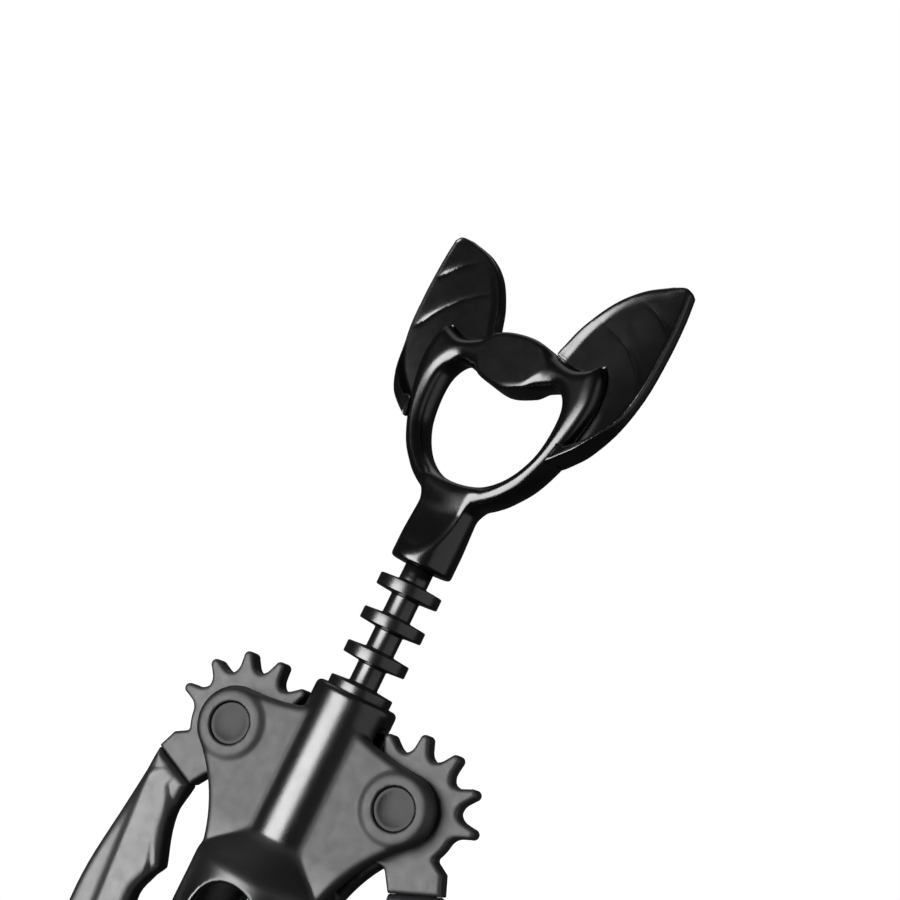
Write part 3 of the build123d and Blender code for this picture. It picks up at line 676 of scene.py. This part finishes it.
def ear_field(x, y, z):
    """Dished ear with raised rims and two folds, seated on the side of the ring, its foot over the ring."""
    leaf = outline_distance(x, z, EAR)
    lean = atan2(EAR_AXIS_TOP[0] - EAR_AXIS_FOOT[0], EAR_AXIS_TOP[1] - EAR_AXIS_FOOT[1])
    across = (x - EAR_AXIS_FOOT[0]) * cos(lean) - (z - EAR_AXIS_FOOT[1]) * sin(lean)
    outer = ease(across, -EAR_HALF, EAR_HALF)
    fade = 1 - EAR_LIP_FADE * ease(z, EAR_INNER[1][1], EAR_INNER[-1][1])
    lip = EAR_INNER_LIP * fade * (1 - outer) * ease(leaf, -EAR_INNER_WIDTH, EAR_ROUND / 2)
    rim = EAR_OUTER_LIP * outer * ease(leaf, -EAR_OUTER_WIDTH, 0)
    low = 1 - ease(z, EAR_FOOT_LOW, EAR_FOOT_FADE)
    width = EAR_FOOT_WIDTH * low * low
    rise = EAR_FOOT_RISE * outer * low * ease(leaf, -width - EAR_ROUND, -width)
    middle = EAR_BACK - lip - rim - np.maximum(across, 0) ** 2 / (2 * EAR_CURL)
    folds = sum(ear_crease(x, z, points) for points in EAR_CREASES)
    folds = folds * ease(-leaf, EAR_OUTER_WIDTH / 2, EAR_TUCK)
    shell = np.abs(y - middle) - EAR_HALF + np.where(y < middle, folds - rise, 0)
    shell = meet(leaf, shell, EAR_ROUND)
    beside = np.maximum(outline_distance(x, z, RING) + np.where(y < 0, 0, EAR_TUCK), EAR_FOOT_TOP - z)
    return np.maximum(cut(shell, beside, EAR_SEAT_GAP), EAR_SEAT_GAP - ring_field(x, y, z))


def rack_profile():
    """Half section of the rack sleeve with its rounded rings."""
    points = [(SLEEVE_BORE, RACK_LOW[2]), (NECK_RADIUS, RACK_LOW[2])]
    radii = [0, 0]
    for index in reversed(range(RING_COUNT)):
        middle = TOP_RING - index * RING_PITCH
        points += [
            (NECK_RADIUS, middle - RING_ROOT / 2), (RING_RADIUS, middle - RING_TIP / 2),
            (RING_RADIUS, middle + RING_TIP / 2), (NECK_RADIUS, middle + RING_ROOT / 2)]
        radii += [NECK_FILLET, RING_EDGE, RING_EDGE, NECK_FILLET]
    points += [(NECK_RADIUS, RACK_HIGH[2]), (SLEEVE_BORE, RACK_HIGH[2])]
    return rounded(points, radii + [0, 0])


def rivet_shape():
    """Rivet with a dished head at each end, across the right lug."""
    radii = np.linspace(0, RIVET_DISH_RADIUS, RIVET_DISH_STEPS)
    dish = [
        (radius, RIVET_FACE - RIVET_DISH_DEPTH * (1 - (radius / RIVET_DISH_RADIUS) ** 2))
        for radius in radii]
    under = RIVET_FACE - RIVET_HEAD_THICKNESS
    edge = [(RIVET_HEAD_RADIUS, RIVET_FACE), (RIVET_HEAD_RADIUS, under), (RIVET_RADIUS, under)]
    half = dish + edge
    lower = [(radius, -height) for radius, height in half]
    rounds = [0] * len(dish) + [RIVET_EDGE, 0, 0]
    points, faces = lathe(rounded(lower + half[::-1], rounds + rounds[::-1]))
    return points[:, (0, 2, 1)] * (1, -1, 1) + (PIVOT_REACH, 0, PIVOT_HEIGHT), faces


def worm_shape():
    """Screw with a long tapered point, under a round root and a straight shank."""
    root_top = WASHER_BOTTOM - FACE_GAP
    root_bottom = root_top - WORM_ROOT_HEIGHT
    profile = rounded(
        [(0, root_bottom), (WORM_ROOT_RADIUS, root_bottom), (WORM_ROOT_RADIUS, root_top),
         (SHANK_RADIUS, root_top), (SHANK_RADIUS, WORM_TOP), (0, WORM_TOP)],
        [0, WORM_ROOT_EDGE, WORM_ROOT_EDGE / 2, 0, SHANK_RADIUS / 4, 0])
    points, faces = lathe(profile)
    turns = np.linspace(0, WORM_TURNS + POINT_RUN, int((WORM_TURNS + POINT_RUN) * TURN_STEPS))
    angle = -2 * pi * (turns - WORM_TURNS)
    fade = np.clip((WORM_TURNS + POINT_RUN - turns) / POINT_TURNS, 0, 1)
    wire = WIRE_POINT + (WIRE_RADIUS - WIRE_POINT) * np.sqrt(fade)
    centre = np.stack([
        COIL_RADIUS * np.cos(angle), COIL_RADIUS * np.sin(angle),
        (root_top + root_bottom) / 2 - WORM_PITCH * turns], axis=1)
    ahead = np.gradient(centre, axis=0)
    ahead /= np.linalg.norm(ahead, axis=1)[:, None]
    outward = np.stack([np.cos(angle), np.sin(angle), 0 * angle], axis=1)
    across = np.cross(ahead, outward)
    around = 2 * pi * np.arange(WIRE_STEPS) / WIRE_STEPS
    tube = centre[:, None] + wire[:, None, None] * (
        np.cos(around)[None, :, None] * outward[:, None] + np.sin(around)[None, :, None] * across[:, None])
    first = len(points)
    count = len(turns)
    for row, column in product(range(count - 1), range(WIRE_STEPS)):
        here, beside = first + row * WIRE_STEPS + column, first + row * WIRE_STEPS + (column + 1) % WIRE_STEPS
        faces.append([here, here + WIRE_STEPS, beside + WIRE_STEPS, beside])
    last = first + (count - 1) * WIRE_STEPS
    faces.append([first + column for column in range(WIRE_STEPS)])
    faces.append([last + column for column in reversed(range(WIRE_STEPS))])
    return np.vstack([points, tube.reshape(-1, 3)]), faces


LUG = lug_outline()
WING = wing_outline()
RING = ring_outline()
OPENING = mouth_outline()
EAR = ear_outline()


def coating(name, colour, roughness, grain, bump, metallic=0.0, specular=0.5):
    """A satin coat: a fine grain in its height, and broad drifts in its tone and gloss."""
    made = bpy.data.materials.new(name)
    made.use_nodes = True
    nodes, links = made.node_tree.nodes, made.node_tree.links
    shader = nodes["Principled BSDF"]
    shader.inputs["Metallic"].default_value = metallic
    shader.inputs["Specular IOR Level"].default_value = specular
    place = nodes.new("ShaderNodeTexCoord").outputs["Object"]

    def noise(size, detail):
        texture = nodes.new("ShaderNodeTexNoise")
        texture.inputs["Scale"].default_value = 1 / (size * MM)
        texture.inputs["Detail"].default_value = detail
        links.new(place, texture.inputs["Vector"])
        return texture.outputs["Fac"]

    drift = noise(DRIFT_SIZE, DRIFT_DETAIL)
    tone = nodes.new("ShaderNodeValToRGB")
    for stop, level in zip(tone.color_ramp.elements, TONE_RANGE):
        stop.color = (*(channel * level for channel in colour), 1)
    links.new(drift, tone.inputs["Fac"])
    links.new(tone.outputs["Color"], shader.inputs["Base Color"])
    gloss = nodes.new("ShaderNodeMapRange")
    gloss.inputs["To Min"].default_value = roughness - GLOSS_SWING
    gloss.inputs["To Max"].default_value = roughness + GLOSS_SWING
    links.new(noise(grain * GLOSS_GRAINS, GLOSS_DETAIL), gloss.inputs["Value"])
    links.new(gloss.outputs["Result"], shader.inputs["Roughness"])
    relief = nodes.new("ShaderNodeBump")
    relief.inputs["Strength"].default_value = bump
    relief.inputs["Distance"].default_value = grain * MM * GRAIN_RELIEF
    links.new(noise(grain, GRAIN_DETAIL), relief.inputs["Height"])
    links.new(relief.outputs["Normal"], shader.inputs["Normal"])
    return made


def roughen_plates(material):
    """Dulls the flat lug plates, which stand out from the polished barrel."""
    nodes, links = material.node_tree.nodes, material.node_tree.links
    shader = nodes["Principled BSDF"]
    polished = shader.inputs["Roughness"].links[0].from_socket
    parts = nodes.new("ShaderNodeSeparateXYZ")
    links.new(nodes.new("ShaderNodeTexCoord").outputs["Object"], parts.inputs["Vector"])
    flat = nodes.new("ShaderNodeCombineXYZ")
    links.new(parts.outputs["X"], flat.inputs["X"])
    links.new(parts.outputs["Y"], flat.inputs["Y"])
    out = nodes.new("ShaderNodeVectorMath")
    out.operation = "LENGTH"
    links.new(flat.outputs["Vector"], out.inputs[0])

    def ramp(socket, start, end, result):
        made = nodes.new("ShaderNodeMapRange")
        made.inputs["From Min"].default_value = start * MM
        made.inputs["From Max"].default_value = end * MM
        made.inputs["To Max"].default_value = result
        links.new(socket, made.inputs["Value"])
        return made.outputs["Result"]

    beside = ramp(out.outputs["Value"], BARREL_RADIUS, BARREL_RADIUS + DULL_EDGE, PLATE_ROUGHER)
    above = ramp(parts.outputs["Z"], CHAMBER_TOP - SHOULDER_RISE, CHAMBER_TOP + SHOULDER_RISE, 1)
    dulled = nodes.new("ShaderNodeMath")
    dulled.operation = "MULTIPLY_ADD"
    links.new(beside, dulled.inputs[0])
    links.new(above, dulled.inputs[1])
    links.new(polished, dulled.inputs[2])
    links.new(dulled.outputs["Value"], shader.inputs["Roughness"])


def view_axes():
    """Right, forward and up of the photograph's camera in the part's frame."""
    tip, roll, spin = VIEW_TURNS
    turn = Matrix.Rotation(roll, 3, "Y") @ Matrix.Rotation(tip, 3, "X") @ Matrix.Rotation(spin, 3, "Z")
    return turn[0].copy(), turn[1].copy(), turn[2].copy()


def softbox(name, aside, above, distance, width, height, energy):
    """An area light aimed at the part, its place counted from the camera's direction in degrees."""
    data = bpy.data.lights.new(name, "AREA")
    data.shape = "RECTANGLE"
    data.size, data.size_y = width, height
    data.energy = energy
    made = bpy.data.objects.new(name, data)
    aside, above = radians(aside), radians(above)
    away = -FORWARD * cos(aside) * cos(above) + RIGHT * sin(aside) * cos(above)
    away += UP * sin(above)
    made.location = AIM + away * distance
    made.rotation_mode = "QUATERNION"
    made.rotation_quaternion = away.to_track_quat("Z", "Y")
    bpy.context.scene.collection.objects.link(made)


cast_coat = coating(
    "cast_coat", (0.005, 0.005, 0.0055), roughness=0.29, grain=0.45, bump=0.08, specular=0.7)
roughen_plates(cast_coat)
lever_coat = coating(
    "lever_coat", (0.011, 0.0112, 0.0124), roughness=0.55, grain=0.40, bump=0.20, specular=0.8)
wing_coat = coating(
    "wing_coat", (0.012, 0.012, 0.0132), roughness=0.48, grain=0.45, bump=0.20, specular=0.8)
rack_coat = coating(
    "rack_coat", (0.005, 0.005, 0.0055), roughness=0.30, grain=0.35, bump=0.10, specular=0.7)
head_coat = coating(
    "head_coat", (0.0018, 0.0018, 0.002), roughness=0.25, grain=0.50, bump=0.06, specular=0.6)
ear_coat = coating(
    "ear_coat", (0.0018, 0.0018, 0.002), roughness=0.25, grain=0.50, bump=0.06, specular=0.6)
rivet_steel = coating(
    "rivet_steel", (0.010, 0.0088, 0.0082), roughness=0.30, grain=0.60, bump=0.10, specular=0.11)
dowel_steel = coating(
    "dowel_steel", (0.32, 0.32, 0.33), roughness=0.30, grain=0.30, bump=0.10, metallic=1.0)
washer_steel = coating(
    "washer_steel", (0.05, 0.05, 0.052), roughness=0.35, grain=0.30, bump=0.15, metallic=0.8)
worm_coat = coating(
    "worm_coat", (0.02, 0.02, 0.021), roughness=0.28, grain=0.40, bump=0.10, specular=0.8)
liner_plastic = coating(
    "liner_plastic", (0.022, 0.022, 0.024), roughness=0.50, grain=0.25, bump=0.20)

PLAIN_NODES = {
    "bell_liner": liner_plastic, "thrust_washer": washer_steel, "head_lock_pin": dowel_steel,
    "left_pivot_washers": washer_steel, "right_pivot_washers": washer_steel,
    "left_wing_pins": dowel_steel, "right_wing_pins": dowel_steel,
    "left_ear_pins": dowel_steel, "right_ear_pins": dowel_steel}
for node, material in PLAIN_NODES.items():
    mesh = frame["nodes"][node].data
    mesh.materials.clear()
    mesh.materials.append(material)

body_shape = sculpt(body_field, BODY_LOW, BODY_HIGH, BODY_PITCH)
piece("cast_body", body_shape, "frame", "cast_body", cast_coat, "body_frame")

lever_shape = sculpt(lever_field, *box_mm("right_gear_lever"), LEVER_PITCH)
wing_shape = sculpt(wing_field, *box_mm("right_wing"), WING_PITCH)
rivet = rivet_shape()
for side, turn in (("right", lambda shape: shape), ("left", other_side)):
    gear_lever = turn(lever_shape)
    piece(f"{side}_toothed_lever", gear_lever, f"{side}_lever", "lever", lever_coat, f"{side}_gear_lever")
    piece(f"{side}_wing_grip", turn(wing_shape), f"{side}_lever", "wing", wing_coat, f"{side}_wing")
    piece(f"{side}_dished_rivet", turn(rivet), "frame", "rivet", rivet_steel, f"{side}_pivot_rivet")

piece("ringed_rack", lathe(rack_profile()), "rack", "rack", rack_coat, "rack_sleeve")
piece("screw_worm", worm_shape(), "head", "worm", worm_coat, "worm")

ring_reach = max(x for x, _ in RING_OUTSIDE)
ring_low = (-ring_reach, -COLLAR_RADIUS, COLLAR_BOTTOM)
ring_high = (ring_reach, COLLAR_RADIUS, RING_TOP)
ring_shape = sculpt(head_field, ring_low, ring_high, HEAD_PITCH)
piece("opener_ring", head_turned(ring_shape), "head", "head", head_coat, "head_ring")
ear_front = EAR_BACK - EAR_OUTER_LIP - EAR_HALF - EAR_FOOT_RISE
ear_low = (min(x for x, _ in EAR_INNER), ear_front, EAR_OUTER[-1][1])
ear_high = (max(x for x, _ in EAR_OUTER), EAR_BACK + EAR_HALF, EAR_TIP[1][1])
ear_shape = sculpt(ear_field, ear_low, ear_high, EAR_PITCH)
piece("right_cupped_ear", head_turned(ear_shape), "head", "ear", ear_coat, "right_ear")
piece("left_cupped_ear", head_turned(other_side(ear_shape)), "head", "ear", ear_coat, "left_ear")

RIGHT, FORWARD, UP = view_axes()
camera_data = bpy.data.cameras.new("camera")
camera_data.sensor_width = SENSOR
camera_data.lens = FOCAL_PIXELS / PHOTO_WIDTH * SENSOR
camera = bpy.data.objects.new("camera", camera_data)
eye = -(RIGHT * VIEW_PLACE[0] + FORWARD * VIEW_PLACE[1] + UP * VIEW_PLACE[2])
eye = (eye + Vector((0, 0, PIVOT_HEIGHT))) * MM
camera.matrix_world = Matrix.Translation(eye) @ Matrix((RIGHT, UP, -FORWARD)).transposed().to_4x4()
camera_data.clip_start = NEAREST
bpy.context.scene.collection.objects.link(camera)
bpy.context.scene.camera = camera

softbox("key_softbox", aside=-46, above=4, distance=0.9, width=0.74, height=1.0, energy=38)
softbox("right_fill", aside=60, above=-5, distance=1.0, width=1.6, height=1.2, energy=3.6)
softbox("back_fill", aside=175, above=55, distance=1.0, width=1.0, height=0.8, energy=1.5)

floor_mesh = bpy.data.meshes.new("floor")
floor_corners = [(x * FLOOR_HALF, y * FLOOR_HALF, 0) for x, y in ((-1, -1), (1, -1), (1, 1), (-1, 1))]
floor_mesh.from_pydata(floor_corners, [], [(0, 1, 2, 3)])
floor = bpy.data.objects.new("floor", floor_mesh)
floor_paint = bpy.data.materials.new("floor_paint")
floor_paint.use_nodes = True
paint = floor_paint.node_tree.nodes["Principled BSDF"]
paint.inputs["Base Color"].default_value = FLOOR_GREY
paint.inputs["Roughness"].default_value = FLOOR_ROUGHNESS
paint.inputs["Emission Color"].default_value = WHITE
floor_nodes, floor_links = floor_paint.node_tree.nodes, floor_paint.node_tree.links
reach = floor_nodes.new("ShaderNodeVectorMath")
reach.operation = "LENGTH"
floor_links.new(floor_nodes.new("ShaderNodeTexCoord").outputs["Object"], reach.inputs[0])
glow = floor_nodes.new("ShaderNodeMapRange")
glow.inputs["From Min"].default_value = FLOOR_NEAR
glow.inputs["From Max"].default_value = FLOOR_FAR
glow.inputs["To Min"].default_value = FLOOR_GLOW
floor_links.new(reach.outputs["Value"], glow.inputs["Value"])
floor_links.new(glow.outputs["Result"], paint.inputs["Emission Strength"])
floor_mesh.materials.append(floor_paint)
floor.visible_glossy = False
floor.visible_diffuse = False
bpy.context.scene.collection.objects.link(floor)

world = bpy.data.worlds.new("studio")
world.use_nodes = True
bpy.context.scene.world = world
nodes, links = world.node_tree.nodes, world.node_tree.links
sky = nodes["Background"]
shade = nodes.new("ShaderNodeMix")
shade.data_type = "RGBA"
shade.inputs["A"].default_value = (WORLD_GREY, WORLD_GREY, WORLD_GREY, 1)
shade.inputs["B"].default_value = WHITE
links.new(nodes.new("ShaderNodeLightPath").outputs["Is Camera Ray"], shade.inputs["Factor"])
links.new(shade.outputs["Result"], sky.inputs["Color"])
bpy.context.scene.view_settings.view_transform = "Standard"
